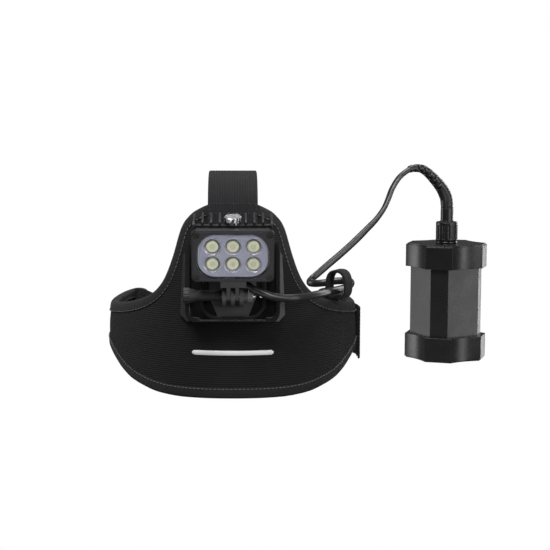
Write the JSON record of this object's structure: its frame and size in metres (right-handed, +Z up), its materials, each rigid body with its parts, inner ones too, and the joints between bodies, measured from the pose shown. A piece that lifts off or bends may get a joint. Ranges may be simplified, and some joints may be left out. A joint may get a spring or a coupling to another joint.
{
  "type": "miner's cap lamp",
  "caption": "Head-worn work lamp: padded forehead harness with a tilting finned lamp head on a quick-release buckle, fed by a lead from an upright battery pack.",
  "frame": {"origin": "middle of the footprint, on the floor that the pad's lower edge and the battery's foot stand on", "axes": "-Y is the lamp's front, +X runs from the harness to the battery pack, +Z is up"},
  "size_m": [0.3203, 0.2649, 0.169],
  "materials": {
    "pad_fabric": "matt",
    "binding_tape": "matt",
    "strap_webbing": "matt",
    "black_plastic": "satin",
    "switch_plastic": "satin",
    "steel": "satin",
    "button_steel": "polished",
    "black_aluminium": "satin anodised",
    "clear_lens": "polished",
    "bright_optic": "polished",
    "light_resin": "satin",
    "light_phosphor": "matt",
    "board_white": "matt",
    "board_green": "satin",
    "black_rubber": "satin",
    "cell_wrap": "satin",
    "nickel": "satin",
    "gold": "polished",
    "lead_jacket": "satin"
  },
  "bodies": {
    "harness": {"pad_shell": "pad_fabric", "edge_binding": "binding_tape", "crown_strap": "strap_webbing", "back_strap": "strap_webbing", "hook_tab": "binding_tape", "lead_keeper": "strap_webbing", "base_plate": "black_plastic", "mount_tray": "black_plastic", "tray_rivets": "steel", "receiver": "black_plastic", "pack_shell": "black_plastic", "top_cap": "black_rubber", "bottom_cap": "black_rubber", "cap_seals": "black_rubber", "cells": "cell_wrap", "cell_holders": "black_plastic", "cell_links": "nickel", "protection_board": "board_green", "pack_socket": "switch_plastic", "socket_seal": "black_rubber", "lead_mid": "lead_jacket", "lead_pack": "lead_jacket"},
    "buckle": {"buckle": "black_plastic", "clamp_nut": "steel"},
    "clamp": {"clamp_screw": "steel", "thumb_knob": "black_plastic"},
    "lamp": {"lamp_housing": "black_aluminium", "housing_seal": "black_rubber", "front_bezel": "black_aluminium", "bezel_screws": "steel", "lens_cover": "clear_lens", "lens_gasket": "black_rubber", "optic_plate": "bright_optic", "light_domes": "light_resin", "light_chips": "light_phosphor", "light_board": "board_white", "driver_board": "board_green", "mount_foot": "black_aluminium", "foot_screws": "steel", "lead_gland": "black_rubber", "switch_body": "switch_plastic", "switch_dome": "steel", "lead_lamp": "lead_jacket"},
    "button": {"switch_cap": "button_steel"},
    "plug": {"plug_body": "black_plastic", "contact_pins": "gold", "strain_relief": "black_rubber"},
    "collar": {"lock_ring": "black_plastic"}
  },
  "joints": [
    {"name": "buckle_slide", "type": "slide", "parent": "harness", "child": "buckle", "axis": [0, 0.2164, 0.9763], "range_m": [0, 0.03]},
    {"name": "clamp_turn", "type": "hinge", "parent": "buckle", "child": "clamp", "pos_m": [-0.06021, -0.10497, 0.08114], "axis": [1, 0, 0], "continuous": true},
    {"name": "lamp_tilt", "type": "hinge", "parent": "buckle", "child": "lamp", "pos_m": [-0.06021, -0.10497, 0.08114], "axis": [1, 0, 0], "range_deg": [-10, 40]},
    {"name": "button_press", "type": "slide", "parent": "lamp", "child": "button", "axis": [0, 0.225, -0.9744], "range_m": [0, 0.0008], "stiffness_N_per_m": 1500, "springref_m": -0.0008},
    {"name": "plug_lift", "type": "slide", "parent": "harness", "child": "plug", "axis": [0, 0, 1], "range_m": [0, 0.012]},
    {"name": "collar_turn", "type": "hinge", "parent": "plug", "child": "collar", "pos_m": [0.12499, 0.09809, 0.11], "axis": [0, 0, 1], "continuous": true}
  ]
}
